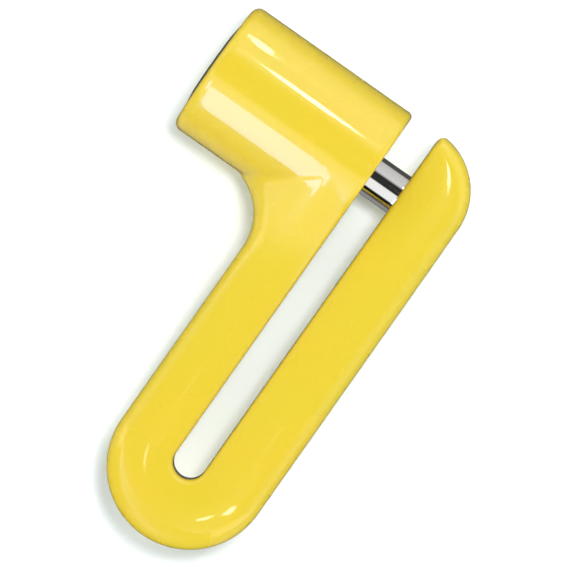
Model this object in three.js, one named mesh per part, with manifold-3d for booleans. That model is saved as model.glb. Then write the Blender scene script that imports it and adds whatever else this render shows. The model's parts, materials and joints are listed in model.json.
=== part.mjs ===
// A brake disc lock with a push-in barrel, lying on its side, locked.
// Millimetres, +Z up. X runs along the locking pin, away from the keyed end of the head.
// Y runs along the slot towards its open end. The lock's mid-plane is level.
import * as THREE from "three";
import { mergeVertices } from "three/addons/utils/BufferGeometryUtils.js";
import Module from "manifold-3d";

const wasm = await Module();
wasm.setup();

// ---- Driving dimensions. Origin of these: pin axis (y = 0, z = 0), slot centre line (x = 0).
const PIN_RADIUS = 5.25;
const TRAVEL = 14.5; // how far the barrel comes out of the head
const SLIDE_GAP = 0.1; // radial clearance of sliding and turning pieces
const SEAT_GAP = 0.05; // clearance of pieces that are pressed or stacked together

const HEAD_RADIUS = 17.7;
const HEAD_END_X = -50.3; // the head's keyed end
const HEAD_END_ROUND = 2.2;
const HEAD_FILLET = 14.2; // between head and stem

const SLOT_HALF = 4.1;
const SLOT_BOTTOM_Y = -81.5; // centre of the slot's round bottom
const STEM_LEFT_X = -19.5;
const ARM_WIDTH = 16.4;
const TIP_CORNER = 2; // in plan, where the arm's end meets the slot
const BEND_CENTRE = [0.5, -82.4];
const BEND_RADIUS = 20;

const BAR_HALF_THICK = 11;
const CROWN = 1.3; // how much lower a bar's face is at its edges than along its middle
const OUTER_EDGE = 3.8;
const SLOT_EDGE = 1.2;
const STEM_TOP_Y = -6; // from here down the stem thins out towards the bend
const STEM_RISE = 5.4; // how much thicker its halves are there
const STEM_TAPER = 60;

const BORE_RADIUS = 12.5;
const WIPER_GROOVE_X = [-48.3, -46.2];
const WIPER_GROOVE_RADIUS = 13.6;
const BORE_END_X = -9.1;
const BARREL_RADIUS = BORE_RADIUS - SLIDE_GAP;
const BARREL_X = [-50, -17.1];
const PIN_X = [-21.6, 10.2];
const ARM_HOLE_END_X = 12.2;
const BUSHING_RADIUS = 7;
const RETURN_SPRING = { meanRadius: 6.3, wireRadius: 0.55, turns: 4.5 };

const CORE_RADIUS = 9; // the hole in the barrel for the drum
const DRUM_RADIUS = CORE_RADIUS - SLIDE_GAP;
const DRUM_X = [-48.55, -28.6];
const DRUM_INSIDE = 7.6;
const DISC_RADIUS = DRUM_INSIDE - SLIDE_GAP;
const DRUM_FACE = 1.5;
const DISC_THICK = 1.9;
const SPACER_THICK = 0.45;
const STACK_GAP = 0.06;
const DISC_COUNT = 6;
const DRILL_PLATE_THICK = 1.2;
const TAIL_THICK = 2.5;
const KEYWAY = [6, 2.6];
const SIDEBAR_RADIUS = 0.85;
const SIDEBAR_AT = 8; // distance from the core's axis
const SPACER_HOLE_RADIUS = 3.8;

const CAM_THROW = 2; // offset of the drum's tail pin
const CAM_RADIUS = 1.4;
const CAM_START_DEG = -135; // from +Y towards +Z
const CAM_SWEEP_DEG = 90;
const LATCH_STROKE = 2 * CAM_THROW * Math.sin(THREE.MathUtils.degToRad(CAM_SWEEP_DEG / 2));
const LATCH_X = [-28.2, -23.2];
const LATCH_HALF = 4.6;
const LATCH_NOSE_HALF = 2.5;
const LATCH_NOSE_Y = -14.9;
const LATCH_TOP_Y = 4.2;
const LATCH_SHOULDER_Y = -10;
const LATCH_SPRING_TOP_Y = 9.1;

const SCREW_RADIUS = 2;
const SCREW_X = -40;
const SCREW_TIP_Z = -10.9;
const SCREW_HEAD_Z = -17.2;
const SCREW_SOCKET_RADIUS = 1.15;

const ROLL_PIN_RADIUS = 1.25;
const ROLL_PIN_X = -19.4;
const DRILL_PIN_RADIUS = 0.9;
const DRILL_PIN_AT = 10.75;
const DRILL_PIN_END_X = -38.4;
const CAP_HOLE_RADIUS = 5.6;
const CAP_SPIGOT_RADIUS = 10.5;
const CAP_TIP_X = -51;

const PAST = 1; // how far a cutting tool runs past the surface it opens

// ---- Materials
const material = (color, roughness, metalness) =>
  new THREE.MeshStandardMaterial({ color, roughness, metalness });
const yellowCoat = material("#f4da40", 0.16, 0);
const chrome = material("#d8d6d2", 0.08, 1);
const zinc = material("#a9aaab", 0.35, 1);
const brass = material("#c9a45c", 0.28, 1);
const steel = material("#8e9094", 0.3, 1);
const darkSteel = material("#4c4e52", 0.35, 1);
const springSteel = material("#9da0a4", 0.22, 1);
const bronze = material("#b08550", 0.32, 1);
const blackRubber = material("#191919", 0.8, 0);

// ---- Geometry helpers
function toSolid(geometry) {
  const plain = geometry.clone();
  plain.deleteAttribute("normal");
  plain.deleteAttribute("uv");
  const merged = mergeVertices(plain, 1e-3);
  return new wasm.Manifold(
    new wasm.Mesh({
      numProp: 3,
      vertProperties: new Float32Array(merged.attributes.position.array),
      triVerts: new Uint32Array(merged.index.array),
    }),
  );
}

function toGeometry(solid) {
  const { vertProperties, triVerts } = solid.getMesh();
  const geometry = new THREE.BufferGeometry();
  geometry.setAttribute("position", new THREE.BufferAttribute(vertProperties, 3));
  geometry.setIndex(new THREE.BufferAttribute(triVerts, 1));
  return geometry;
}

function joined(...geometries) {
  return geometries.map(toSolid).reduce((whole, next) => whole.add(next));
}

// Cuts every tool geometry out of a solid.
function cut(solid, tools) {
  return tools.map(toSolid).reduce((left, tool) => left.subtract(tool), solid);
}

// Turns a closed profile of [x, radius] points about the X axis.
function turned(profile, segments = 48) {
  const points = profile.map(([x, radius]) => new THREE.Vector2(radius, x));
  const geometry = new THREE.LatheGeometry(points, segments);
  return geometry.rotateZ(-Math.PI / 2);
}

function rod(radius, fromX, toX, segments = 32) {
  return new THREE.CylinderGeometry(radius, radius, toX - fromX, segments)
    .rotateZ(-Math.PI / 2)
    .translate((fromX + toX) / 2, 0, 0);
}

function uprightRod(radius, x, fromZ, toZ, segments = 24) {
  return new THREE.CylinderGeometry(radius, radius, toZ - fromZ, segments)
    .rotateX(Math.PI / 2)
    .translate(x, 0, (fromZ + toZ) / 2);
}

function block([x0, x1], [y0, y1], [z0, z1]) {
  return new THREE.BoxGeometry(x1 - x0, y1 - y0, z1 - z0).translate(
    (x0 + x1) / 2,
    (y0 + y1) / 2,
    (z0 + z1) / 2,
  );
}

// A closed solid through rings of equally many [x, y, z] points, each end closed by a fan.
function loft(rings) {
  const count = rings[0].length;
  const positions = rings.flat(2);
  const faces = [];
  for (let ring = 0; ring + 1 < rings.length; ring++) {
    for (let k = 0; k < count; k++) {
      const a = ring * count + k;
      const b = ring * count + ((k + 1) % count);
      faces.push(a, b + count, b, a, a + count, b + count);
    }
  }
  const last = (rings.length - 1) * count;
  for (let k = 1; k + 1 < count; k++) {
    faces.push(0, k, k + 1);
    faces.push(last, last + k + 1, last + k);
  }
  const geometry = new THREE.BufferGeometry();
  geometry.setAttribute("position", new THREE.Float32BufferAttribute(positions, 3));
  geometry.setIndex(faces);
  return geometry;
}

class Helix extends THREE.Curve {
  constructor(radius, length, turns) {
    super();
    this.radius = radius;
    this.length = length;
    this.turns = turns;
  }

  getPoint(t) {
    const turn = 2 * Math.PI * this.turns * t;
    return new THREE.Vector3(
      this.length * t,
      this.radius * Math.cos(turn),
      this.radius * Math.sin(turn),
    );
  }
}

// A compression spring along X from x = 0, its wire kept inside the length.
function coilSpring(meanRadius, wireRadius, length, turns) {
  const section = new THREE.Shape();
  section.absarc(0, 0, wireRadius, 0, 2 * Math.PI);
  const path = new Helix(meanRadius, length - 2 * wireRadius, turns);
  return new THREE.ExtrudeGeometry(section, {
    steps: Math.round(turns * 14),
    extrudePath: path,
    curveSegments: 3,
  }).translate(wireRadius, 0, 0);
}

// ---- The coated body
const drop = (depth, radius) => radius - Math.sqrt(Math.max(radius ** 2 - depth ** 2, 0));

// Half thickness of a bar's face at distance s from its slot side: crowned about the middle of
// the bar's own width, with round edges. A web beside the bar may make the whole wider.
function faceHeight(s, width, halfThick, barWidth) {
  const slotEdge = Math.min(SLOT_EDGE, 0.2 * width);
  const outerEdge = Math.min(OUTER_EDGE, 0.4 * width);
  const crown = CROWN * (halfThick / BAR_HALF_THICK) ** 2 * (2 * (s / barWidth) - 1) ** 2;
  const nearSlot = drop(Math.max(slotEdge - s, 0), slotEdge);
  const nearOutside = drop(Math.max(s - (width - outerEdge), 0), outerEdge);
  return halfThick - crown - nearSlot - nearOutside;
}

// One ring around a bar, from its slot side to its outer side and back underneath.
function barRing(slotPoint, outerPoint, halfThick, ownWidth) {
  const across = new THREE.Vector2(outerPoint[0] - slotPoint[0], outerPoint[1] - slotPoint[1]);
  const width = across.length();
  across.normalize();
  const slotEdge = Math.min(SLOT_EDGE, 0.2 * width);
  const outerEdge = Math.min(OUTER_EDGE, 0.4 * width);
  const stations = [];
  for (const angle of [0, 30, 60]) {
    stations.push(slotEdge * (1 - Math.cos(THREE.MathUtils.degToRad(angle))));
  }
  for (const share of [0, 0.33, 0.67]) {
    stations.push(THREE.MathUtils.lerp(slotEdge, width - outerEdge, share));
  }
  for (const angle of [0, 22, 45, 68, 90]) {
    stations.push(width - outerEdge + outerEdge * Math.sin(THREE.MathUtils.degToRad(angle)));
  }
  const point = (s, side) => [
    slotPoint[0] + across.x * s,
    slotPoint[1] + across.y * s,
    side * faceHeight(s, width, halfThick, ownWidth ?? width),
  ];
  return [
    ...stations.map((s) => point(s, 1)),
    ...stations.reverse().map((s) => point(s, -1)),
  ];
}

function armRings() {
  const rings = [];
  const top = HEAD_RADIUS - 0.1;
  const cornerY = top - ARM_WIDTH;
  const left = SLOT_HALF;
  for (const angle of [82, 76, 70, 63, 55, 46, 36, 25, 13, 0]) {
    const turn = THREE.MathUtils.degToRad(angle);
    const y = cornerY + ARM_WIDTH * Math.sin(turn);
    const corner = drop(Math.max(y - (top - TIP_CORNER), 0), TIP_CORNER);
    const endRound = drop(Math.max(y - (top - OUTER_EDGE), 0), OUTER_EDGE);
    const outer = [left + ARM_WIDTH * Math.cos(turn), y];
    rings.push(barRing([left + corner, y], outer, BAR_HALF_THICK - 0.8 * endRound));
  }
  return rings;
}

function bendRings() {
  const rings = [];
  for (let angle = 0; angle >= -180; angle -= 10) {
    const turn = THREE.MathUtils.degToRad(angle);
    const inner = [SLOT_HALF * Math.cos(turn), SLOT_BOTTOM_Y + SLOT_HALF * Math.sin(turn)];
    const outer = [
      BEND_CENTRE[0] + BEND_RADIUS * Math.cos(turn),
      BEND_CENTRE[1] + BEND_RADIUS * Math.sin(turn),
    ];
    rings.push(barRing(inner, outer, BAR_HALF_THICK));
  }
  return rings;
}

// Half the stem's thickness at height y: it grows smoothly towards the head.
function stemHalfThick(y) {
  const share = Math.min(Math.max((STEM_TOP_Y - y) / STEM_TAPER, 0), 1);
  return BAR_HALF_THICK + STEM_RISE * (1 - share) ** 3;
}

// The stem, with the web that its fillet to the head's underside adds on the left.
function stemRings() {
  const filletX = STEM_LEFT_X - HEAD_FILLET;
  const filletY = -HEAD_RADIUS - HEAD_FILLET;
  const sections = [-66, -54, -44, -37].map((y) => [STEM_LEFT_X, y]);
  for (let angle = 0; angle <= 72; angle += 12) {
    const turn = THREE.MathUtils.degToRad(angle);
    sections.push([
      filletX + HEAD_FILLET * Math.cos(turn),
      filletY + HEAD_FILLET * Math.sin(turn),
    ]);
  }
  const webX = sections.at(-1)[0];
  sections.push(...[-16.5, -14.5, -12, -9.5, -7].map((y) => [webX, y]));
  const ownWidth = -SLOT_HALF - STEM_LEFT_X;
  return sections.map(([left, y]) =>
    barRing([-SLOT_HALF, y], [left, y], stemHalfThick(y), ownWidth),
  );
}

function headForm() {
  const profile = [[HEAD_END_X, 0]];
  for (const angle of [0, 30, 60, 90]) {
    const turn = THREE.MathUtils.degToRad(angle);
    profile.push([
      HEAD_END_X + HEAD_END_ROUND * (1 - Math.cos(turn)),
      HEAD_RADIUS - HEAD_END_ROUND * (1 - Math.sin(turn)),
    ]);
  }
  profile.push([-SLOT_HALF - SLOT_EDGE, HEAD_RADIUS]);
  profile.push([-SLOT_HALF - 0.3 * SLOT_EDGE, HEAD_RADIUS - 0.3 * SLOT_EDGE]);
  profile.push([-SLOT_HALF, HEAD_RADIUS - SLOT_EDGE]);
  profile.push([-SLOT_HALF, 0]);
  return turned(profile, 72);
}

function lockBody() {
  const bars = loft([...armRings(), ...bendRings(), ...stemRings()]);
  return toGeometry(
    cut(joined(headForm(), bars), [
      rod(BORE_RADIUS, HEAD_END_X - PAST, BORE_END_X, 64),
      rod(WIPER_GROOVE_RADIUS, ...WIPER_GROOVE_X, 64),
      rod(BUSHING_RADIUS, BORE_END_X - PAST, -SLOT_HALF + PAST, 40),
      rod(PIN_RADIUS + 0.3, SLOT_HALF - PAST, ARM_HOLE_END_X, 40),
      block(
        [LATCH_X[0] - TRAVEL - 0.3, LATCH_X[1] + 0.3],
        [LATCH_NOSE_Y - 0.3, 0],
        [-LATCH_NOSE_HALF - 0.3, LATCH_NOSE_HALF + 0.3],
      ),
      uprightRod(SCREW_RADIUS + SEAT_GAP, SCREW_X, -HEAD_RADIUS - PAST, 0),
    ]),
  );
}

// ---- Pieces that stay in the body
function pinBushing() {
  const [inner, outer] = [PIN_RADIUS + 0.08, BUSHING_RADIUS - SEAT_GAP];
  return turned(
    [
      [BORE_END_X, inner],
      [BORE_END_X, outer],
      [-SLOT_HALF - 0.15, outer],
      [-SLOT_HALF - 0.15, inner + 0.4],
      [-SLOT_HALF - 0.55, inner],
      [BORE_END_X, inner],
    ],
    40,
  );
}

function wiperRing() {
  const [x0, x1] = WIPER_GROOVE_X;
  const outer = WIPER_GROOVE_RADIUS - 0.08;
  const lip = BORE_RADIUS - 0.04;
  return turned(
    [
      [x0 + 0.1, outer],
      [x1 - 0.1, outer],
      [x1 - 0.1, BORE_RADIUS + 0.4],
      [x1 - 0.7, lip],
      [x0 + 0.7, lip],
      [x0 + 0.1, BORE_RADIUS + 0.4],
      [x0 + 0.1, outer],
    ],
    64,
  );
}

function guideScrew() {
  const body = uprightRod(SCREW_RADIUS, SCREW_X, SCREW_HEAD_Z, SCREW_TIP_Z - 0.5);
  const dog = uprightRod(SCREW_RADIUS - 0.4, SCREW_X, SCREW_HEAD_Z + 2, SCREW_TIP_Z);
  const socket = uprightRod(
    SCREW_SOCKET_RADIUS,
    SCREW_X,
    SCREW_HEAD_Z - PAST,
    SCREW_HEAD_Z + 1.6,
    6,
  );
  return toGeometry(cut(joined(body, dog), [socket]));
}

function returnSpring() {
  const [from, to] = [BARREL_X[1] + 0.2, BORE_END_X - 0.2];
  const { meanRadius, wireRadius, turns } = RETURN_SPRING;
  return coilSpring(meanRadius, wireRadius, to - from, turns).translate(from, 0, 0);
}

// ---- The barrel and what is fixed in it
function barrel() {
  const shoulder = DRUM_X[1] + 0.2;
  const cavity = LATCH_HALF + 0.1;
  const side = CORE_RADIUS - 0.2;
  const form = turned(
    [
      [BARREL_X[0], 0],
      [BARREL_X[0], BARREL_RADIUS],
      [BARREL_X[1] - 0.8, BARREL_RADIUS],
      [BARREL_X[1], BARREL_RADIUS - 0.8],
      [BARREL_X[1], 0],
    ],
    64,
  );
  const drillPinHoles = [1, -1].map((way) =>
    rod(DRILL_PIN_RADIUS + SEAT_GAP, BARREL_X[0] - PAST, DRILL_PIN_END_X + 0.2, 16).translate(
      0,
      way * DRILL_PIN_AT,
      0,
    ),
  );
  return toGeometry(
    cut(toSolid(form), [
      rod(CAP_SPIGOT_RADIUS + SEAT_GAP, BARREL_X[0] - PAST, DRUM_X[0] - 0.1, 48),
      rod(CORE_RADIUS, BARREL_X[0] - PAST, shoulder, 48),
      rod(SIDEBAR_RADIUS + 0.25, DRUM_X[0] - 0.1, stackEnd + 0.7, 16).translate(0, 0, side),
      block(
        [shoulder - 0.1, LATCH_X[1] + 0.2],
        [LATCH_SHOULDER_Y - 0.2, LATCH_SPRING_TOP_Y + 0.1],
        [-cavity, cavity],
      ),
      block(
        [LATCH_X[0] - 0.2, LATCH_X[1] + 0.2],
        [-BARREL_RADIUS - PAST, 0],
        [-LATCH_NOSE_HALF - 0.1, LATCH_NOSE_HALF + 0.1],
      ),
      rod(PIN_RADIUS + SEAT_GAP, PIN_X[0] - 0.1, BARREL_X[1] + PAST, 40),
      uprightRod(ROLL_PIN_RADIUS + SEAT_GAP, ROLL_PIN_X, -BORE_RADIUS, BORE_RADIUS),
      block(
        [SCREW_X - SCREW_RADIUS - 0.2, SCREW_X + SCREW_RADIUS + TRAVEL + 0.3],
        [-SCREW_RADIUS - 0.1, SCREW_RADIUS + 0.1],
        [-BORE_RADIUS, SCREW_TIP_Z + 0.2],
      ),
      ...drillPinHoles,
    ]),
  );
}

function barrelFaceCap() {
  const rim = BARREL_RADIUS - 0.1;
  const profile = [[DRUM_X[0] - 0.2, CAP_HOLE_RADIUS]];
  profile.push([CAP_TIP_X + 0.35, CAP_HOLE_RADIUS]);
  profile.push([CAP_TIP_X, CAP_HOLE_RADIUS + 0.5]);
  profile.push([CAP_TIP_X + 0.08, 8.5]);
  profile.push([CAP_TIP_X + 0.25, 10.8]);
  profile.push([CAP_TIP_X + 0.5, rim - 0.35]);
  profile.push([BARREL_X[0] - 0.25, rim]);
  profile.push([BARREL_X[0] - 0.03, rim]);
  profile.push([BARREL_X[0] - 0.03, CAP_SPIGOT_RADIUS]);
  profile.push([DRUM_X[0] - 0.2, CAP_SPIGOT_RADIUS]);
  profile.push([DRUM_X[0] - 0.2, CAP_HOLE_RADIUS]);
  return turned(profile, 48);
}

function lockingPin() {
  const form = turned(
    [
      [PIN_X[0], 0],
      [PIN_X[0], PIN_RADIUS - 0.4],
      [PIN_X[0] + 0.4, PIN_RADIUS],
      [PIN_X[1] - 1, PIN_RADIUS],
      [PIN_X[1] - 0.3, PIN_RADIUS - 0.4],
      [PIN_X[1], PIN_RADIUS - 1.1],
      [PIN_X[1], 0],
    ],
    40,
  );
  const reach = PIN_RADIUS + PAST;
  const cross = uprightRod(ROLL_PIN_RADIUS + SEAT_GAP, ROLL_PIN_X, -reach, reach);
  return toGeometry(cut(toSolid(form), [cross]));
}

const rollPin = () => uprightRod(ROLL_PIN_RADIUS, ROLL_PIN_X, -11, 11);

const antiDrillPin = (way) =>
  rod(DRILL_PIN_RADIUS, DRUM_X[0] + 0.2, DRILL_PIN_END_X, 16).translate(
    0,
    way * DRILL_PIN_AT,
    0,
  );

// ---- The core: a drum with its discs
const keyHole = (fromX, toX) =>
  block([fromX, toX], [-KEYWAY[1] / 2, KEYWAY[1] / 2], [-KEYWAY[0] / 2, KEYWAY[0] / 2]);

const sidebarRod = (radius, fromX, toX) =>
  rod(radius, fromX, toX, 16).translate(0, 0, SIDEBAR_AT);

const stackStart = DRUM_X[0] + DRUM_FACE + STACK_GAP;
const discStart = stackStart + DRILL_PLATE_THICK + STACK_GAP;
const discPitch = DISC_THICK + SPACER_THICK + 2 * STACK_GAP;
const discX = (index) => discStart + index * discPitch;
const stackEnd = discX(DISC_COUNT - 1) + DISC_THICK;

function plugDrum() {
  const [front, back] = DRUM_X;
  const form = turned(
    [
      [front, 0],
      [front, DRUM_RADIUS],
      [back, DRUM_RADIUS],
      [back, DRUM_INSIDE],
      [front + DRUM_FACE, DRUM_INSIDE],
      [front + DRUM_FACE, 0],
    ],
    48,
  );
  const slot = block(
    [discStart - 0.2, stackEnd + 0.3],
    [-SIDEBAR_RADIUS - SEAT_GAP, SIDEBAR_RADIUS + SEAT_GAP],
    [0, DRUM_RADIUS + PAST],
  );
  return toGeometry(cut(toSolid(form), [keyHole(front - PAST, front + 2 * DRUM_FACE), slot]));
}

function antiDrillDisc() {
  const [from, to] = [stackStart, stackStart + DRILL_PLATE_THICK];
  return toGeometry(cut(toSolid(rod(DISC_RADIUS, from, to, 40)), [keyHole(from - PAST, to + PAST)]));
}

function lockDisc(index) {
  const [from, to] = [discX(index), discX(index) + DISC_THICK];
  return toGeometry(
    cut(toSolid(rod(DISC_RADIUS, from, to, 40)), [
      keyHole(from - PAST, to + PAST),
      sidebarRod(SIDEBAR_RADIUS + 0.12, from - PAST, to + PAST),
    ]),
  );
}

function discSpacer(index) {
  const from = discX(index) + DISC_THICK + STACK_GAP;
  const to = from + SPACER_THICK;
  return toGeometry(
    cut(toSolid(rod(DISC_RADIUS, from, to, 40)), [
      rod(SPACER_HOLE_RADIUS, from - PAST, to + PAST, 24),
      sidebarRod(SIDEBAR_RADIUS + 0.12, from - PAST, to + PAST),
    ]),
  );
}

const sidebar = () => sidebarRod(SIDEBAR_RADIUS, discStart, stackEnd);

function drumTailCam() {
  const turn = THREE.MathUtils.degToRad(CAM_START_DEG);
  const plate = rod(DRUM_INSIDE - SEAT_GAP, DRUM_X[1] - TAIL_THICK, DRUM_X[1], 40);
  const pin = rod(CAM_RADIUS, DRUM_X[1] - 1, LATCH_X[1] - 0.3, 24).translate(
    0,
    CAM_THROW * Math.cos(turn),
    CAM_THROW * Math.sin(turn),
  );
  return toGeometry(joined(plate, pin));
}

// ---- The latch
function latchBolt() {
  const [x0, x1] = LATCH_X;
  const slack = 0.12;
  const camTop = CAM_THROW * Math.cos(THREE.MathUtils.degToRad(CAM_START_DEG)) + CAM_RADIUS;
  const window = block(
    [x0 - PAST, x1 + PAST],
    [camTop - 2 * CAM_RADIUS - LATCH_STROKE - slack, camTop + slack],
    [-CAM_THROW - CAM_RADIUS - 0.15, 0.15],
  );
  const slide = block([x0, x1], [LATCH_SHOULDER_Y, LATCH_TOP_Y], [-LATCH_HALF, LATCH_HALF]);
  const nose = block(
    [x0, x1],
    [LATCH_NOSE_Y, LATCH_SHOULDER_Y + PAST],
    [-LATCH_NOSE_HALF, LATCH_NOSE_HALF],
  );
  const ramp = new THREE.BoxGeometry(6, 4, 8)
    .translate(3, -2, 0)
    .rotateZ(Math.PI / 4)
    .translate(x1 - 2.6, LATCH_NOSE_Y, 0);
  const pocket = new THREE.CylinderGeometry(2.6, 2.6, 2, 24);
  pocket.translate((x0 + x1) / 2, LATCH_TOP_Y, 0);
  return toGeometry(cut(joined(slide, nose), [window, ramp, pocket]));
}

function latchSpring() {
  const [from, to] = [LATCH_TOP_Y - 0.9, LATCH_SPRING_TOP_Y];
  return coilSpring(1.9, 0.25, to - from, 4)
    .rotateZ(Math.PI / 2)
    .translate((LATCH_X[0] + LATCH_X[1]) / 2, from, 0);
}

// ---- Assembly. The row's origin is under the middle of the lock, where it lies.
const piece = (name, geometry, look) => {
  const mesh = new THREE.Mesh(geometry, look);
  mesh.name = name;
  return mesh;
};

const lock = new THREE.Group();
const lowestY = BEND_CENTRE[1] - BEND_RADIUS;
const rightX = BEND_CENTRE[0] + BEND_RADIUS;
lock.position.set(-(CAP_TIP_X + rightX) / 2, -(lowestY + HEAD_RADIUS) / 2, HEAD_RADIUS);

lock.add(
  piece("lock_body", lockBody(), yellowCoat),
  piece("pin_bushing", pinBushing(), bronze),
  piece("wiper_ring", wiperRing(), blackRubber),
  piece("guide_screw", guideScrew(), darkSteel),
  piece("return_spring", returnSpring(), springSteel),
  piece("barrel", barrel(), zinc),
  piece("barrel_face_cap", barrelFaceCap(), chrome),
  piece("locking_pin", lockingPin(), chrome),
  piece("pin_roll_pin", rollPin(), darkSteel),
  piece("anti_drill_pin_1", antiDrillPin(1), darkSteel),
  piece("anti_drill_pin_2", antiDrillPin(-1), darkSteel),
  piece("plug_drum", plugDrum(), brass),
  piece("anti_drill_disc", antiDrillDisc(), darkSteel),
  piece("sidebar", sidebar(), steel),
  piece("drum_tail_cam", drumTailCam(), steel),
  piece("latch_bolt", latchBolt(), steel),
  piece("latch_spring", latchSpring(), springSteel),
);

for (let index = 0; index < DISC_COUNT; index++) {
  lock.add(piece(`lock_disc_${index + 1}`, lockDisc(index), brass));
}
for (let index = 0; index + 1 < DISC_COUNT; index++) {
  lock.add(piece(`disc_spacer_${index + 1}`, discSpacer(index), steel));
}

export default new THREE.Group().add(lock);
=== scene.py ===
"""Looks of a brake disc lock that lies on a white table, locked, seen from straight above.

Shapes are worked out in millimetres from the pin's axis and the slot's centre line, where the
CAD frame puts them, and made in metres. X runs along the pin, Y towards the slot's open end.
"""
import json
import math

import bmesh
import bpy
import numpy as np
from mathutils import Matrix, Vector


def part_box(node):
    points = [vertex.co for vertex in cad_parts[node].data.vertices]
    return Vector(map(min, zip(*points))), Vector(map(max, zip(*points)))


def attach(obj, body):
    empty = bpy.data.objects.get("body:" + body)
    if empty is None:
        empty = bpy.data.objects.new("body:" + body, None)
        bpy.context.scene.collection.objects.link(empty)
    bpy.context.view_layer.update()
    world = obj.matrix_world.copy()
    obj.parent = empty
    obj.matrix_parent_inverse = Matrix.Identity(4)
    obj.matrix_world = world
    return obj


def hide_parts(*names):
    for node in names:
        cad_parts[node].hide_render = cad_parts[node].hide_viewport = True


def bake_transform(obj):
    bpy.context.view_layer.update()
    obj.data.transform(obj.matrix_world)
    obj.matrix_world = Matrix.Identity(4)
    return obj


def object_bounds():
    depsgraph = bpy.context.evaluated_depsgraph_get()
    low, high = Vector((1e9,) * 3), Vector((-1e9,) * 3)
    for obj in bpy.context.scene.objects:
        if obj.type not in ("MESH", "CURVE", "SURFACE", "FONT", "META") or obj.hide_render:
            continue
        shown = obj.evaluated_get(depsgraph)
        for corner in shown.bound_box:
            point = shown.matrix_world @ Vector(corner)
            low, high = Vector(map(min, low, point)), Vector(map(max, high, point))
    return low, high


MM = 0.001
PHOTO_TURN = math.radians(35.15)  # how far the lock lies turned clockwise in the view
VIEW_WIDTH = 0.1374  # what the square view takes in, at the height of the pin
CAMERA_HEIGHT = 1.6
VIEW_CENTRE = (-5.9, -33.6)  # mm from the origin of the shapes

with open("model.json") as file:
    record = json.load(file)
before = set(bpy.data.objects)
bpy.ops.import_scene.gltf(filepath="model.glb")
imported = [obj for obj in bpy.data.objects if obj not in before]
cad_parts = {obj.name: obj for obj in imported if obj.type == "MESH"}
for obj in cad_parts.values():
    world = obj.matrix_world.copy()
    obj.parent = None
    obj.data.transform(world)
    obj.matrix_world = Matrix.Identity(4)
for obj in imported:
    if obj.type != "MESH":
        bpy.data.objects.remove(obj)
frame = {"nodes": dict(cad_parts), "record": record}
cad_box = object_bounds()
record = frame["record"]
scene = bpy.context.scene


# ---------------------------------------------------------------- places from the frame
faces = {m["name"]: m["pos_m"] for m in record["mounts"]}
pin_low, pin_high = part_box("locking_pin")
ORIGIN = Vector(
    (
        (faces["slot_stem_face"][0] + faces["slot_arm_face"][0]) / 2,
        (pin_low.y + pin_high.y) / 2,
        (pin_low.z + pin_high.z) / 2,
    )
)


def node_span(node, axis):
    """Where a CAD node begins and ends along an axis, in mm from the origin of the shapes."""
    low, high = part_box(node)
    return (low[axis] - ORIGIN[axis]) / MM, (high[axis] - ORIGIN[axis]) / MM


BODY_X, BODY_Y, BODY_Z = (node_span("lock_body", axis) for axis in range(3))
SLOT_HALF = (faces["slot_arm_face"][0] - faces["slot_stem_face"][0]) / 2 / MM
HEAD_RADIUS = BODY_Z[1]
PIN_X = node_span("locking_pin", 0)
PIN_RADIUS = node_span("locking_pin", 1)[1]
BARREL_X = node_span("barrel", 0)
CAP_X = node_span("barrel_face_cap", 0)
WIPER_X = node_span("wiper_ring", 0)
WIPER_RADIUS = node_span("wiper_ring", 1)[1]
BUSHING_X = node_span("pin_bushing", 0)
BUSHING_RADIUS = node_span("pin_bushing", 1)[1]
LATCH_X = node_span("latch_bolt", 0)
SCREW_X = sum(node_span("guide_screw", 0)) / 2

# Shape of the coated body, millimetres
BORE_RADIUS = 12.5
HEAD_END_ROUND = 2.2
ARM_WIDTH = BODY_X[1] - SLOT_HALF
STEM_LEFT = -19.5
BEND_RADIUS = 20.0
BEND_CENTRE = (BODY_X[1] - BEND_RADIUS, BODY_Y[0] + BEND_RADIUS)
SLOT_BOTTOM = -81.5
ARM_TOP = HEAD_RADIUS - 0.1
BAR_HALF_THICK = 11.0
CROWN = 1.3  # how much lower a bar's face is at its edges than along its middle
OUTER_EDGE = 3.8
SLOT_EDGE = 1.2
TIP_CORNER = 2.0
STEM_TOP = -6.0  # from here down the stem thins out towards the bend
STEM_RISE = 5.4  # how much thicker its halves are there
STEM_TAPER = 60.0
SIDE_FILLET = 14.2  # between the head and the stem's side
FACE_FILLET = 4.0  # between the head and the stem's faces
TRAVEL = 14.5  # of the barrel, pin and latch
VOXEL = 0.5

# Edges of the pieces that keep their CAD form
FLAT_ANGLE = 0.8  # degrees: faces that meet flatter than this become one
CRISP_ANGLE = 32  # degrees: edges sharper than this are broken
BROKEN_EDGE = 0.15  # mm


# ---------------------------------------------------------------- mesh helpers
def new_object(name, mesh):
    made = bpy.data.objects.new(name, mesh)
    scene.collection.objects.link(made)
    return made


def to_metres(points):
    return np.asarray(points, float) * MM + np.array(ORIGIN)


def mesh_object(name, points, polygons):
    mesh = bpy.data.meshes.new(name)
    mesh.from_pydata(to_metres(points).tolist(), [], polygons)
    mesh.update()
    return new_object(name, mesh)


def applied(obj):
    """Replaces an object's mesh by what its modifiers make of it."""
    graph = bpy.context.evaluated_depsgraph_get()
    mesh = bpy.data.meshes.new_from_object(obj.evaluated_get(graph))
    obj.modifiers.clear()
    obj.data = mesh
    return obj


def smooth_shaded(obj, angle):
    obj.data.shade_smooth()
    obj.data.set_sharp_from_angle(angle=math.radians(angle))
    return obj


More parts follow.
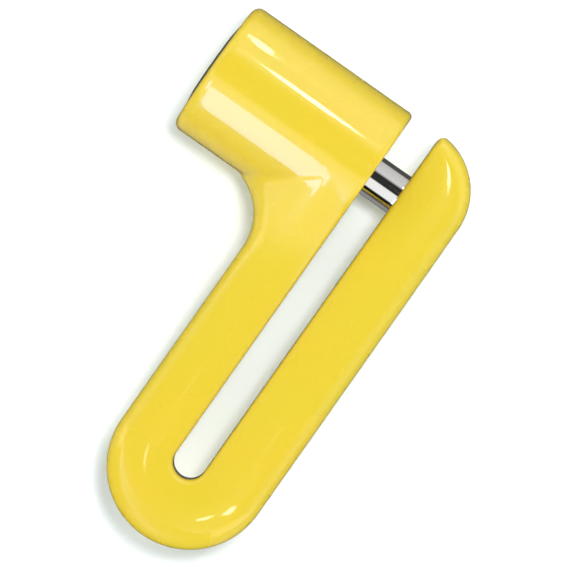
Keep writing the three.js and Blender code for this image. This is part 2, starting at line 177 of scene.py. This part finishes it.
def turned(name, profile, segments=96):
    """Turns an open profile of (x, radius) about X, from axis to axis or back to its start."""
    closed = profile[0][1] > 0
    rings = []
    points = []
    for x, radius in profile:
        if radius == 0:
            rings.append([len(points)] * segments)
            points.append((x, 0, 0))
            continue
        rings.append(list(range(len(points), len(points) + segments)))
        for k in range(segments):
            angle = 2 * math.pi * k / segments
            points.append((x, radius * math.cos(angle), radius * math.sin(angle)))
    pairs = list(zip(rings, rings[1:]))
    if closed:
        pairs.append((rings[-1], rings[0]))
    polygons = []
    for a, b in pairs:
        for k in range(segments):
            after = (k + 1) % segments
            corners = [a[k], a[after], b[after], b[k]]
            polygons.append(list(dict.fromkeys(corners)))
    return facing_out(mesh_object(name, points, polygons))


def facing_out(obj):
    edit = bmesh.new()
    edit.from_mesh(obj.data)
    bmesh.ops.remove_doubles(edit, verts=edit.verts, dist=1e-7)
    bmesh.ops.recalc_face_normals(edit, faces=edit.faces)
    edit.to_mesh(obj.data)
    edit.free()
    return obj


def arc(centre, radius, start, end, steps=8):
    """Points of an arc in (x, radius), angles in degrees from +X."""
    points = []
    for k in range(steps + 1):
        angle = math.radians(start + (end - start) * k / steps)
        points.append((centre[0] + radius * math.cos(angle), centre[1] + radius * math.sin(angle)))
    return points


def box_object(name, low, high):
    xs, ys, zs = zip(low, high)
    corners = [(x, y, z) for x in xs for y in ys for z in zs]
    sides = [(0, 1, 3, 2), (4, 6, 7, 5), (0, 4, 5, 1), (2, 3, 7, 6), (0, 2, 6, 4), (1, 5, 7, 3)]
    return facing_out(mesh_object(name, corners, sides))


def cut_by(obj, cutters):
    """Cuts the cutters out of an object, one after another, and removes them."""
    for cutter in cutters:
        boolean = obj.modifiers.new("cut", "BOOLEAN")
        boolean.operation = "DIFFERENCE"
        boolean.solver = "EXACT"
        boolean.object = cutter
        applied(obj)
        bpy.data.objects.remove(cutter)
    return obj


def eased(node):
    """A finer copy of a CAD node: flat faces joined up and crisp edges broken."""
    piece = new_object("visual_" + node, frame["nodes"][node].data.copy())
    edit = bmesh.new()
    edit.from_mesh(piece.data)
    bmesh.ops.remove_doubles(edit, verts=edit.verts, dist=1e-6)
    bmesh.ops.dissolve_limit(
        edit, angle_limit=math.radians(FLAT_ANGLE), verts=edit.verts, edges=edit.edges
    )
    edit.to_mesh(piece.data)
    edit.free()
    bevel = piece.modifiers.new("broken edges", "BEVEL")
    bevel.width = BROKEN_EDGE * MM
    bevel.segments = 2
    bevel.limit_method = "ANGLE"
    bevel.angle_limit = math.radians(CRISP_ANGLE)
    bevel.use_clamp_overlap = True
    applied(piece)
    return smooth_shaded(piece, CRISP_ANGLE)


def helix(name, start, length, mean_radius, wire, turns, along=Vector((1, 0, 0))):
    """A compression spring whose end coils lie closed, as millimetre points from start."""
    per_turn, sides = 36, 12
    steps = int(turns * per_turn)
    side_a = Vector((0, 0, 1))
    side_b = along.cross(side_a)
    shares = np.linspace(0, 1, steps + 1)
    closing = np.minimum(1, np.minimum(shares, 1 - shares) * turns / 0.9)
    rise = np.cumsum(0.35 + 0.65 * closing)
    rise = (rise - rise[0]) / (rise[-1] - rise[0])
    line = []
    for share, up in zip(shares, rise):
        turn = 2 * math.pi * turns * share
        out = side_a * math.cos(turn) + side_b * math.sin(turn)
        centre = Vector(start) + along * (wire + up * (length - 2 * wire))
        line.append((centre + out * mean_radius, out))
    points = []
    for centre, out in line:
        for k in range(sides):
            angle = 2 * math.pi * k / sides
            points.append(centre + out * wire * math.cos(angle) + along * wire * math.sin(angle))
    polygons = [list(range(sides)), list(range(steps * sides, (steps + 1) * sides))]
    for ring in range(steps):
        for k in range(sides):
            a, b = ring * sides + k, ring * sides + (k + 1) % sides
            polygons.append((a, b, b + sides, a + sides))
    return smooth_shaded(facing_out(mesh_object(name, points, polygons)), 60)


# ---------------------------------------------------------------- materials
def new_material(name):
    material = bpy.data.materials.new(name)
    material.use_nodes = True
    return material, material.node_tree.nodes["Principled BSDF"]


def noise(material, scale, detail, stretch=(1, 1, 1)):
    """A noise value read in object space, in metres, optionally stretched."""
    tree = material.node_tree
    place = tree.nodes.new("ShaderNodeTexCoord")
    mapping = tree.nodes.new("ShaderNodeMapping")
    mapping.inputs["Scale"].default_value = stretch
    texture = tree.nodes.new("ShaderNodeTexNoise")
    texture.inputs["Scale"].default_value = scale
    texture.inputs["Detail"].default_value = detail
    tree.links.new(place.outputs["Object"], mapping.inputs["Vector"])
    tree.links.new(mapping.outputs["Vector"], texture.inputs["Vector"])
    return texture.outputs["Fac"]


def spread(material, value, low, high):
    """Stretches the middle of a noise value over a range."""
    node = material.node_tree.nodes.new("ShaderNodeMapRange")
    node.inputs["From Min"].default_value = 0.3
    node.inputs["From Max"].default_value = 0.7
    node.inputs["To Min"].default_value = low
    node.inputs["To Max"].default_value = high
    material.node_tree.links.new(value, node.inputs["Value"])
    return node.outputs["Result"]


def two_colours(material, value, first, second):
    """A colour that a noise value takes from the first to the second."""
    ramp = material.node_tree.nodes.new("ShaderNodeValToRGB")
    ramp.color_ramp.elements[0].position = 0.35
    ramp.color_ramp.elements[1].position = 0.65
    ramp.color_ramp.elements[0].color = (*first, 1)
    ramp.color_ramp.elements[1].color = (*second, 1)
    material.node_tree.links.new(value, ramp.inputs["Fac"])
    return ramp.outputs["Color"]


def bump(material, value, distance, strength, below=None):
    node = material.node_tree.nodes.new("ShaderNodeBump")
    node.inputs["Distance"].default_value = distance
    node.inputs["Strength"].default_value = strength
    material.node_tree.links.new(value, node.inputs["Height"])
    if below is not None:
        material.node_tree.links.new(below, node.inputs["Normal"])
    return node.outputs["Normal"]


def coated_yellow():
    """Thick glossy coating: faint cloudiness in the pigment and a slight orange peel."""
    material, shader = new_material("yellow_coating")
    links = material.node_tree.links
    cloud = noise(material, 45, detail=3)
    colour = two_colours(material, cloud, (0.728, 0.562, 0.037), (0.75, 0.552, 0.033))
    links.new(colour, shader.inputs["Base Color"])
    links.new(
        spread(material, noise(material, 90, detail=2), 0.24, 0.3), shader.inputs["Roughness"]
    )
    peel = bump(material, noise(material, 420, detail=1), 0.00002, 0.35)
    grain = bump(material, noise(material, 2600, detail=2), 0.000004, 0.4, peel)
    links.new(grain, shader.inputs["Normal"])
    links.new(peel, shader.inputs["Coat Normal"])
    shader.inputs["Coat Weight"].default_value = 1.0
    shader.inputs["Coat Roughness"].default_value = 0.035
    shader.inputs["Specular IOR Level"].default_value = 0.4
    return material


def metal(name, first, second, rough, scale, stretch=(1, 1, 1), height=0.000004):
    """Bare metal: its tone and polish vary with a grain that follows how it was made."""
    material, shader = new_material(name)
    links = material.node_tree.links
    grain = noise(material, scale, detail=4, stretch=stretch)
    links.new(two_colours(material, grain, first, second), shader.inputs["Base Color"])
    links.new(spread(material, grain, *rough), shader.inputs["Roughness"])
    links.new(bump(material, grain, height, 0.6), shader.inputs["Normal"])
    shader.inputs["Metallic"].default_value = 1.0
    return material


def rubber():
    material, shader = new_material("black_rubber")
    links = material.node_tree.links
    grain = noise(material, 1800, detail=3)
    links.new(
        two_colours(material, grain, (0.012, 0.012, 0.013), (0.022, 0.022, 0.022)),
        shader.inputs["Base Color"],
    )
    links.new(spread(material, grain, 0.55, 0.75), shader.inputs["Roughness"])
    links.new(bump(material, grain, 0.00001, 0.5), shader.inputs["Normal"])
    return material


TURNED_GRAIN = (30, 1, 1)  # fine along X, long round the axis, as a lathe leaves it
LOOKS = {
    "yellow_coating": coated_yellow(),
    "chrome": metal(
        "chrome", (0.83, 0.82, 0.79), (0.88, 0.87, 0.85), (0.03, 0.07), 300, TURNED_GRAIN, 0.0000015
    ),
    "cast_zinc": metal("cast_zinc", (0.5, 0.5, 0.5), (0.62, 0.62, 0.61), (0.26, 0.42), 900),
    "brass": metal("brass", (0.7, 0.47, 0.17), (0.8, 0.58, 0.26), (0.2, 0.34), 260, TURNED_GRAIN),
    "bronze": metal("bronze", (0.4, 0.23, 0.1), (0.55, 0.34, 0.16), (0.3, 0.5), 2200),
    "plain_steel": metal(
        "plain_steel", (0.42, 0.43, 0.45), (0.56, 0.57, 0.58), (0.22, 0.36), 260, (1, 30, 1)
    ),
    "black_steel": metal("black_steel", (0.06, 0.062, 0.068), (0.1, 0.1, 0.105), (0.3, 0.45), 700),
    "spring_steel": metal("spring_steel", (0.5, 0.5, 0.52), (0.62, 0.62, 0.63), (0.16, 0.28), 500),
    "black_rubber": rubber(),
}
SLOT_OF = {part["node"]: part["material_slot"] for part in record["subparts"]}


def finished(piece, node, body):
    """Gives a piece its look, lets it ride on a body and stand for a CAD node."""
    slot = SLOT_OF[node]
    piece.data.materials.clear()
    piece.data.materials.append(LOOKS[slot])
    if body:
        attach(piece, body)
    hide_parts(node)
    return piece


# ---------------------------------------------------------------- the coated body
def rounded_meet(a, b, radius):
    """Where both distances are inside, with the edge between them rounded."""
    inside = np.minimum(np.maximum(a, b) + radius, 0)
    return inside + np.hypot(np.maximum(a + radius, 0), np.maximum(b + radius, 0)) - radius


def filleted_join(a, b, radius, cosine):
    """Where either distance is inside, with a rolled fillet of that radius between them.

    The cosine is that of the angle between the two skins' normals.
    """
    cosine = np.clip(cosine, 0, 0.98)
    u, v = radius - a, radius - b
    reach = np.sqrt(np.maximum(u**2 + v**2 - 2 * u * v * cosine, 0) / (1 - cosine**2))
    between = (u > 0) & (v > 0) & (u > v * cosine) & (v > u * cosine)
    return np.where(between, radius - reach, np.minimum(a, b))


def stem_half_thick(y):
    down = np.clip((STEM_TOP - y) / STEM_TAPER, 0, 1)
    return BAR_HALF_THICK + STEM_RISE * (1 - down) ** 3


def body_distance(points):
    """Roughly the distance in mm from the coated body's skin, negative inside."""
    x, y, z = points.T
    slot_side = np.where(
        y > SLOT_BOTTOM, np.abs(x), np.hypot(x, np.minimum(y - SLOT_BOTTOM, 0))
    ) - SLOT_HALF
    from_bend = np.hypot(x - BEND_CENTRE[0], y - BEND_CENTRE[1])
    straight = np.where(x < BEND_CENTRE[0], x - STEM_LEFT, BODY_X[1] - x)
    outer_side = np.where(y < BEND_CENTRE[1], BEND_RADIUS - from_bend, straight)
    tip_y = ARM_TOP - ARM_WIDTH
    tip = ARM_WIDTH - np.hypot(x - SLOT_HALF, y - tip_y)
    outer_side = np.where((x > 0) & (y > tip_y), np.minimum(tip, ARM_TOP - y), outer_side)

    stem = (x < 0) & (y > BEND_CENTRE[1])
    across = slot_side / np.maximum(slot_side + outer_side, 1)
    across = np.clip(across, 0, np.where(stem, 3, 1))
    corner = filleted_join(STEM_LEFT - x, -HEAD_RADIUS - y, SIDE_FILLET, 0)
    outer_side = np.where(stem, -corner, outer_side)
    half_thick = np.where(x < 0, stem_half_thick(y), BAR_HALF_THICK)
    crown = CROWN * (half_thick / BAR_HALF_THICK) ** 2
    face = np.abs(z) - (half_thick - crown * (2 * across - 1) ** 2)
    bars = rounded_meet(face, -outer_side, OUTER_EDGE)
    bars = np.where(x < 0, np.maximum(bars, y - 5), bars)

    from_axis = np.maximum(np.hypot(y, z), 1)
    head = rounded_meet(np.hypot(y, z) - HEAD_RADIUS, BODY_X[0] - x, HEAD_END_ROUND)
    near_face = np.maximum(face + OUTER_EDGE, 0)
    near_side = np.maximum(OUTER_EDGE - outer_side, 0)
    facing_up = near_face / np.maximum(np.hypot(near_face, near_side), 0.001)
    along = np.maximum(x - STEM_LEFT + SIDE_FILLET, 0)
    up = np.maximum(y + HEAD_RADIUS + SIDE_FILLET, 0)
    facing_back = up / np.maximum(np.hypot(along, up), 0.001)
    facing_side = np.sqrt(np.maximum(1 - facing_up**2, 0))
    cosine = (facing_up * np.abs(z) - facing_side * facing_back * y) / from_axis
    with_head = np.where(
        y < 0, filleted_join(head, bars, FACE_FILLET, cosine), np.minimum(head, bars)
    )
    joined = np.where(x < 0, with_head, bars)
    to_corner = np.clip((y - ARM_TOP + 5) / 3, 0, 1)
    edge = SLOT_EDGE + np.where(x > 0, (TIP_CORNER - SLOT_EDGE) * to_corner, 0)
    return rounded_meet(joined, -slot_side, edge)


def on_the_skin(points, steps):
    """Moves points along the gradient until they lie on the body's skin."""
    reach = 0.01
    for _ in range(steps):
        value = body_distance(points)
        slope = np.stack(
            [
                body_distance(points + reach * axis) - body_distance(points - reach * axis)
                for axis in np.eye(3)
            ],
            axis=1,
        ) / (2 * reach)
        length = np.maximum((slope**2).sum(axis=1), 0.2)
        step = (value / length)[:, None] * slope
        points = points - np.clip(step, -0.4, 0.4)
    return points


def relaxed(points, edges):
    """Each point moved half way to the mean of its neighbours."""
    total = np.zeros_like(points)
    count = np.zeros(len(points))
    for a, b in ((edges[:, 0], edges[:, 1]), (edges[:, 1], edges[:, 0])):
        np.add.at(total, a, points[b])
        np.add.at(count, a, 1)
    return (points + total / count[:, None]) / 2


def plan_outline():
    """The bars' outline seen from above, a little inside the skin."""
    points = []
    inset = 0.3
    for k in range(13):
        angle = math.radians(90 - 90 * k / 12)
        radius = ARM_WIDTH - inset
        points.append(
            (SLOT_HALF + radius * math.cos(angle), ARM_TOP - ARM_WIDTH + radius * math.sin(angle))
        )
    for k in range(33):
        angle = math.radians(-180 * k / 32)
        radius = BEND_RADIUS - inset
        points.append(
            (BEND_CENTRE[0] + radius * math.cos(angle), BEND_CENTRE[1] + radius * math.sin(angle))
        )
    stem_left = STEM_LEFT + inset
    points += [(stem_left, -31), (stem_left - 3, -23), (stem_left - 10, -17), (stem_left - 10, 0)]
    points.append((-SLOT_HALF - inset, 0))
    for k in range(17):
        angle = math.radians(180 + 180 * k / 16)
        radius = SLOT_HALF + inset
        points.append((radius * math.cos(angle), SLOT_BOTTOM + radius * math.sin(angle)))
    points.append((SLOT_HALF + inset, ARM_TOP - inset))
    return points


def merged(name, parts):
    """One mesh of several solids that may overlap."""
    edit = bmesh.new()
    for part in parts:
        edit.from_mesh(part.data)
        bpy.data.objects.remove(part)
    mesh = bpy.data.meshes.new(name)
    edit.to_mesh(mesh)
    edit.free()
    return new_object(name, mesh)


def rough_bars():
    outline = plan_outline()
    count = len(outline)
    half = BAR_HALF_THICK - 1
    points = [(x, y, -half) for x, y in outline] + [(x, y, half) for x, y in outline]
    polygons = [list(reversed(range(count))), list(range(count, 2 * count))]
    for k in range(count):
        after = (k + 1) % count
        polygons.append((k, after, after + count, k + count))
    return facing_out(mesh_object("bars", points, polygons))


def rough_stem():
    points = []
    polygons = [(0, 1, 2, 3)]
    for y in np.linspace(STEM_TOP - STEM_TAPER, STEM_TOP, 12):
        half = stem_half_thick(y) - 1.5
        left, right = STEM_LEFT + 2.5, -SLOT_HALF - 0.3
        start = len(points)
        points += [(left, y, -half), (right, y, -half), (right, y, half), (left, y, half)]
        if start:
            for k in range(4):
                after = (k + 1) % 4
                polygons.append((start - 4 + k, start - 4 + after, start + after, start + k))
    start = len(points) - 4
    polygons.append((start, start + 1, start + 2, start + 3))
    return facing_out(mesh_object("stem", points, polygons))


def rough_body():
    """A plain solid near the body's skin, as even small quads."""
    head = turned(
        "head",
        [
            (BODY_X[0] + 0.3, 0),
            (BODY_X[0] + 0.3, HEAD_RADIUS - 1.5),
            (BODY_X[0] + 1.6, HEAD_RADIUS - 0.2),
            (-SLOT_HALF - 0.3, HEAD_RADIUS - 0.2),
            (-SLOT_HALF - 0.3, 0),
        ],
    )
    body = merged("rough_body", [rough_bars(), rough_stem(), head])
    remesh = body.modifiers.new("even", "REMESH")
    remesh.mode = "VOXEL"
    remesh.voxel_size = VOXEL * MM
    return applied(body)


def bore_cutter():
    """The head's stepped bore: mouth, seal groove, barrel bore and bushing hole."""
    mouth = BODY_X[0]
    return turned(
        "bore",
        [
            (mouth - 2, 0),
            (mouth - 2, BORE_RADIUS + 2.6),
            (mouth + 0.6, BORE_RADIUS),
            (WIPER_X[0] - 0.1, BORE_RADIUS),
            (WIPER_X[0] - 0.1, WIPER_RADIUS + 0.06),
            (WIPER_X[1] + 0.1, WIPER_RADIUS + 0.06),
            (WIPER_X[1] + 0.1, BORE_RADIUS),
            (BUSHING_X[0], BORE_RADIUS),
            (BUSHING_X[0], BUSHING_RADIUS + 0.05),
            (-SLOT_HALF - 0.35, BUSHING_RADIUS + 0.05),
            (-SLOT_HALF + 1, BUSHING_RADIUS + 1.4),
            (-SLOT_HALF + 1, 0),
        ],
    )


def arm_hole_cutter():
    radius = PIN_RADIUS + 0.3
    return turned(
        "arm_hole",
        [
            (SLOT_HALF - 1, 0),
            (SLOT_HALF - 1, radius + 1.4),
            (SLOT_HALF + 0.4, radius),
            (PIN_X[1] + 1.4, radius),
            (PIN_X[1] + 2, radius - 0.6),
            (PIN_X[1] + 2, 0),
        ],
    )


def screw_hole_cutter():
    hole = turned(
        "screw_hole",
        [
            (0, 0),
            (0, 2.06),
            (HEAD_RADIUS - 0.45, 2.06),
            (HEAD_RADIUS + 1, 3.5),
            (HEAD_RADIUS + 1, 0),
        ],
        segments=48,
    )
    centre = ORIGIN + Vector((SCREW_X * MM, 0, 0))
    turn = Matrix.Translation(centre) @ Matrix.Rotation(math.pi / 2, 4, "Y")
    hole.data.transform(turn @ Matrix.Translation(-ORIGIN))
    return hole


def latch_groove_cutter():
    nose = node_span("latch_bolt", 1)[0]
    return box_object(
        "latch_groove",
        (LATCH_X[0] - TRAVEL - 0.3, nose - 0.3, -2.8),
        (LATCH_X[1] + 0.3, 0, 2.8),
    )


def coated_body():
    body = rough_body()
    count = len(body.data.vertices)
    points = np.empty(count * 3)
    body.data.vertices.foreach_get("co", points)
    points = (points.reshape(-1, 3) - np.array(ORIGIN)) / MM
    edges = np.empty(len(body.data.edges) * 2, int)
    body.data.edges.foreach_get("vertices", edges)
    edges = edges.reshape(-1, 2)
    points = on_the_skin(points, 10)
    for _ in range(8):
        points = on_the_skin(relaxed(points, edges), 2)
    points = on_the_skin(points, 6)
    body.data.vertices.foreach_set("co", to_metres(points).ravel())
    body.data.update()
    facing_out(body)
    cut_by(body, [bore_cutter(), arm_hole_cutter(), screw_hole_cutter(), latch_groove_cutter()])
    body.name = "coated_body"
    smooth_shaded(body, 28)
    finished(body, "lock_body", "body")


# ---------------------------------------------------------------- turned and bent pieces
def chrome_pin():
    radius = PIN_RADIUS
    left, right = PIN_X
    profile = [(left, 0), (left, radius - 0.4), (left + 0.4, radius)]
    profile += arc((right - 1.1, radius - 1.1), 1.1, 90, 8, 10)
    profile += [(right - 0.02, radius * 0.5), (right, 0)]
    pin = turned("chrome_pin", profile, 128)
    cross = turned("cross", [(-6, 0), (-6, 1.3), (6, 1.3), (6, 0)], 32)
    roll_x = sum(node_span("pin_roll_pin", 0)) / 2
    place = Matrix.Translation(ORIGIN + Vector((roll_x * MM, 0, 0)))
    turn = Matrix.Rotation(math.pi / 2, 4, "Y")
    cross.data.transform(place @ turn @ Matrix.Translation(-ORIGIN))
    cut_by(pin, [cross])
    smooth_shaded(pin, 30)
    finished(pin, "locking_pin", "plunger")


def face_cap():
    """The barrel's domed end plate with a rolled rim and a dished keyhole."""
    inner, spigot, rim = 5.6, 10.5, node_span("barrel_face_cap", 1)[1]
    tip, back = CAP_X
    dome_rise = 0.5
    profile = [(back, inner), (tip + 1.0, inner)]
    profile += arc((tip + 0.7, inner + 0.7), 0.7, 270, 180, 8)[1:]
    for k in range(1, 13):
        share = k / 13
        radius = inner + 0.7 + share * (rim - inner - 1.4)
        profile.append((tip + dome_rise * share**2, radius))
    profile += arc((tip + dome_rise + 0.45, rim - 0.45), 0.45, 160, 90, 8)
    profile += [(BARREL_X[0] - 0.03, rim), (BARREL_X[0] - 0.03, spigot), (back, spigot)]
    cap = turned("face_cap", profile, 128)
    smooth_shaded(cap, 30)
    finished(cap, "barrel_face_cap", "plunger")


def springs():
    left, right = node_span("return_spring", 0)
    spring = helix("pin_spring", (left, 0, 0), right - left, 6.3, 0.55, 4.5)
    finished(spring, "return_spring", None)
    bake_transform(spring)

    low, high = node_span("latch_spring", 1)
    middle = sum(LATCH_X) / 2
    upward = Vector((0, 1, 0))
    small = helix("bolt_spring", (middle, low, 0), high - low, 1.9, 0.25, 4, upward)
    finished(small, "latch_spring", None)
    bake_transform(small)


def inner_pieces():
    """Every other CAD node keeps its form and gets broken edges and its metal."""
    made = {"lock_body", "locking_pin", "barrel_face_cap", "return_spring", "latch_spring"}
    for body, members in record["behaviour"]["bodies"].items():
        for node in members:
            if node not in made:
                finished(eased(node), node, body)


# ---------------------------------------------------------------- table, light and camera
LOOP_AIM = (0, -60)  # the middle of the bars, mm
HEAD_AIM = (-28, 0)  # the middle of the head, mm
SKY = (0.2, 0.45, 1.0)  # the colour of a window's light


def table():
    mesh = bpy.data.meshes.new("table")
    reach = 3.0
    low = cad_box[0][2] - 0.0002
    corners = [(-reach, -reach), (reach, -reach), (reach, reach), (-reach, reach)]
    mesh.from_pydata([(x, y, low) for x, y in corners], [], [(0, 1, 2, 3)])
    floor = new_object("table", mesh)
    material, shader = new_material("white_table")
    links = material.node_tree.links
    fine = noise(material, 900, detail=2)
    links.new(
        two_colours(material, fine, (0.89, 0.92, 0.96), (0.905, 0.935, 0.975)),
        shader.inputs["Base Color"],
    )
    # Painted light: the table glows faintly pale blue, which lifts the shade on it, in the slot and
    # under the lock
    shader.inputs["Emission Color"].default_value = (0.3, 0.75, 1, 1)
    shader.inputs["Emission Strength"].default_value = 0.1
    links.new(spread(material, fine, 0.85, 0.95), shader.inputs["Roughness"])
    shader.inputs["Specular IOR Level"].default_value = 0.1
    mesh.materials.append(material)
    floor.visible_glossy = False


def backdrop():
    """A pale wall far round the table, which only the camera sees."""
    half_height, near, far = 2500, 2900, 2902
    profile = [(-half_height, near), (half_height, near), (half_height, far), (-half_height, far)]
    wall = turned("backdrop", profile)
    wall.data.transform(Matrix.Translation(ORIGIN) @ Matrix.Rotation(math.pi / 2, 4, "Y"))
    material = bpy.data.materials.new("pale_wall")
    material.use_nodes = True
    tree = material.node_tree
    tree.nodes.clear()
    glow = tree.nodes.new("ShaderNodeEmission")
    glow.inputs["Color"].default_value = (0.82, 0.83, 0.84, 1)
    out = tree.nodes.new("ShaderNodeOutputMaterial")
    tree.links.new(glow.outputs["Emission"], out.inputs["Surface"])
    wall.data.materials.append(material)
    wall.visible_diffuse = False
    wall.visible_glossy = False
    wall.visible_shadow = False


def soft_box(name, tilts, distance, size, brightness, aim, spin=0, spread=180, glossy=True):
    """An area light that faces a place on the lock, at tilts towards +X and +Y from there.

    Distance and size are in metres, tilts, spin and spread in degrees. Brightness holds along
    the light's axis, so a narrower spread needs less energy.
    """
    light = bpy.data.lights.new(name, "AREA")
    light.shape = "RECTANGLE"
    light.size, light.size_y = size
    light.spread = math.radians(spread)
    light.energy = brightness * math.pi * size[0] * size[1]
    if spread < 180:
        half = light.spread / 2
        light.energy *= 1 - half / math.tan(half)
    lamp = new_object(name, light)
    way = Vector([math.tan(math.radians(tilt)) for tilt in tilts] + [1]).normalized()
    across = Vector((0, 1, 0)).cross(way).normalized()
    upward = way.cross(across)
    facing = Matrix((across, upward, way)).transposed().to_4x4()
    place = Matrix.Translation(ORIGIN + Vector((aim[0] * MM, aim[1] * MM, 0)) + way * distance)
    lamp.matrix_world = place @ facing @ Matrix.Rotation(math.radians(spin), 4, "Z")
    lamp.visible_diffuse = not glossy
    lamp.visible_glossy = glossy
    return light


def flag():
    """A black card beside the bend that keeps the windows out of its round edge."""
    mesh = bpy.data.meshes.new("flag")
    left, right, bottom, top = -60, 30, -15, 49
    y = -106
    corners = [(left, y, bottom), (right, y, bottom), (right, y, top), (left, y, top)]
    mesh.from_pydata(corners, [], [(0, 1, 2, 3)])
    mesh.transform(Matrix.Translation(ORIGIN) @ Matrix.Scale(MM, 4))
    card = new_object("flag", mesh)
    material, shader = new_material("black_card")
    weave = noise(material, 2000, detail=2)
    material.node_tree.links.new(
        two_colours(material, weave, (0.004, 0.004, 0.004), (0.008, 0.008, 0.008)),
        shader.inputs["Base Color"],
    )
    shader.inputs["Roughness"].default_value = 1.0
    shader.inputs["Specular IOR Level"].default_value = 0.0
    mesh.materials.append(material)
    card.visible_camera = False
    card.visible_diffuse = False
    card.visible_shadow = False


def tent_lights():
    """Even light from above and from low on all sides, which leaves no highlights."""
    soft_box("key", (1.6, 9), 1.0, (0.15, 0.15), 82, LOOP_AIM, glossy=False)
    low = 68
    sides = {
        "north": ((0, low), 2.8),
        "south": ((0, -low), 3.3),
        "east": ((low, 0), 2.7),
        "west": ((-low, 0), 2.7),
    }
    for name, (tilts, brightness) in sides.items():
        soft_box("tent_" + name, tilts, 1.0, (0.8, 0.8), brightness, LOOP_AIM, glossy=False)


def highlights():
    """Boxes that only show as highlights: on the head, at its foot, in the bend, at the tip."""
    soft_box("strip", (-0.8, 41.5), 0.8, (0.042, 0.09), 13, HEAD_AIM, 6).shape = "ELLIPSE"
    soft_box("short_strip", (-8.4, 69), 0.5, (0.01, 0.11), 9, HEAD_AIM, 9).shape = "ELLIPSE"
    soft_box("window", (-2.6, -50.5), 0.8, (0.066, 0.57), 7, (-20, 0)).color = SKY
    soft_box("side_window", (-20, -32), 0.8, (0.28, 0.2), 7, (-12, -8)).color = SKY
    narrow = 7  # degrees, so that the straight bars don't mirror the light too
    soft_box("bend_right", (11.7, -4.5), 0.5, (0.07, 0.024), 16, (14, -86), 0, narrow)
    soft_box("bend_low", (4.9, -5.3), 0.5, (0.024, 0.018), 12, (10, -91), 0, narrow)
    soft_box("bend_left", (5, 0.5), 0.5, (0.06, 0.028), 7, (-9.5, -88.5), 0, 4)
    soft_box("tip", (7.7, 6.8), 0.5, (0.055, 0.05), 22, (10, 12), 0, narrow)


def surroundings():
    """What chrome and coat mirror, by tilt towards +Y: a white and a grey wall, dark between."""
    world = bpy.data.worlds.new("studio")
    world.use_nodes = True
    scene.world = world
    world.cycles_visibility.diffuse = False
    tree = world.node_tree
    links = tree.links
    place = tree.nodes.new("ShaderNodeTexCoord")
    parts = tree.nodes.new("ShaderNodeSeparateXYZ")
    links.new(place.outputs["Generated"], parts.inputs["Vector"])
    tilt = tree.nodes.new("ShaderNodeMath")
    tilt.operation = "ARCTAN2"
    links.new(parts.outputs["Y"], tilt.inputs[0])
    links.new(parts.outputs["Z"], tilt.inputs[1])
    turn = tree.nodes.new("ShaderNodeMapRange")
    turn.inputs["From Min"].default_value = -math.pi
    turn.inputs["From Max"].default_value = math.pi
    links.new(tilt.outputs["Value"], turn.inputs["Value"])
    shades = tree.nodes.new("ShaderNodeValToRGB")
    stops = [
        (-160, 0.06),
        (-150, 0.3),
        (-120, 0.3),
        (-106, 0.08),
        (-70, 0.05),
        (-60, 1.0),
        (-16, 1.0),
        (-11, 0.03),
        (27, 0.03),
        (38, 0.72),
        (100, 0.6),
        (110, 0.08),
    ]
    ramp = shades.color_ramp
    ramp.elements.remove(ramp.elements[1])
    for degrees, grey in stops:
        stop = ramp.elements.new(0.5 + degrees / 360)
        stop.color = (grey, grey, grey, 1)
    ramp.elements.remove(ramp.elements[0])
    links.new(turn.outputs["Result"], shades.inputs["Fac"])
    links.new(shades.outputs["Color"], tree.nodes["Background"].inputs["Color"])


def camera():
    lens = bpy.data.cameras.new("camera")
    lens.sensor_width = 36
    lens.lens = 36 * CAMERA_HEIGHT / VIEW_WIDTH
    eye = new_object("camera", lens)
    eye.location = ORIGIN + Vector((VIEW_CENTRE[0] * MM, VIEW_CENTRE[1] * MM, CAMERA_HEIGHT))
    eye.rotation_euler = (0, 0, PHOTO_TURN)
    scene.camera = eye


scene.view_settings.view_transform = "Standard"
coated_body()
chrome_pin()
face_cap()
springs()
inner_pieces()
table()
backdrop()
flag()
tent_lights()
highlights()
surroundings()
camera()
